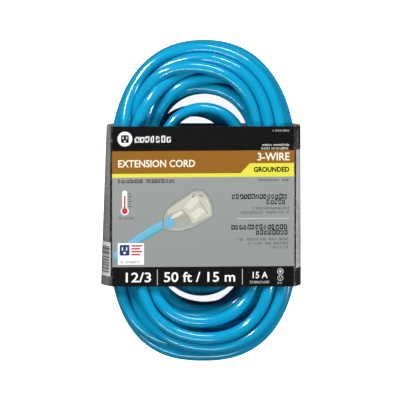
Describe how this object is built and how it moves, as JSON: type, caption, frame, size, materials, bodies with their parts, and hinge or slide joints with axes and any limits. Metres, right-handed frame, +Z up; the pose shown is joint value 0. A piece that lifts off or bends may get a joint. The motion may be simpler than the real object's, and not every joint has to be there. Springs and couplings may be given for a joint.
{
  "type": "extension cord",
  "caption": "Heavy-duty outdoor extension cord, wound in an oval coil with its plug and lit receptacle in the eye, in a printed card sleeve that slides off.",
  "frame": {"origin": "bottom centre of the box round the whole part as it lies on its back", "axes": "+Z up through the printed front panel, +Y along the coil's length towards the print's top edge, +X to the right of the print"},
  "size_m": [0.172, 0.276, 0.072],
  "materials": {
    "blue_jacket": "glossy extruded PVC",
    "blue_plug": "moulded PVC",
    "clear_pvc": "clear moulded PVC",
    "printed_card": "printed, coated card",
    "tie_plastic": "plastic-covered wire",
    "white_nylon": "moulded",
    "nickel_plate": "nickel plated, bright",
    "brass": "stamped",
    "black_wire": "extruded PVC",
    "white_wire": "extruded PVC",
    "green_wire": "extruded PVC",
    "lamp_glass": "clear",
    "resistor_tan": "painted",
    "tinned_wire": "tinned"
  },
  "bodies": {
    "cord": {"cord_coil": "blue_jacket", "receptacle_lead": "blue_jacket", "plug_lead": "blue_jacket", "left_tie": "tie_plastic", "right_tie": "tie_plastic", "plug_body": "blue_plug", "plug_strain_relief": "blue_plug", "plug_core": "white_nylon", "line_blade": "nickel_plate", "neutral_blade": "nickel_plate", "ground_pin": "nickel_plate", "plug_crimps": "brass", "plug_line_wire": "black_wire", "plug_neutral_wire": "white_wire", "plug_ground_wire": "green_wire", "receptacle_shell": "clear_pvc", "receptacle_strain_relief": "clear_pvc", "contact_carrier": "white_nylon", "carrier_cap": "white_nylon", "line_contact": "brass", "neutral_contact": "brass", "ground_contact": "brass", "receptacle_line_wire": "black_wire", "receptacle_neutral_wire": "white_wire", "receptacle_ground_wire": "green_wire", "indicator_lamp": "lamp_glass", "lamp_resistor": "resistor_tan", "lamp_leads": "tinned_wire"},
    "sleeve": {"card_sleeve": "printed_card"}
  },
  "joints": [
    {"name": "sleeve_slide", "type": "slide", "parent": "cord", "child": "sleeve", "axis": [0, 1, 0], "range_m": [0, 0.28]}
  ]
}
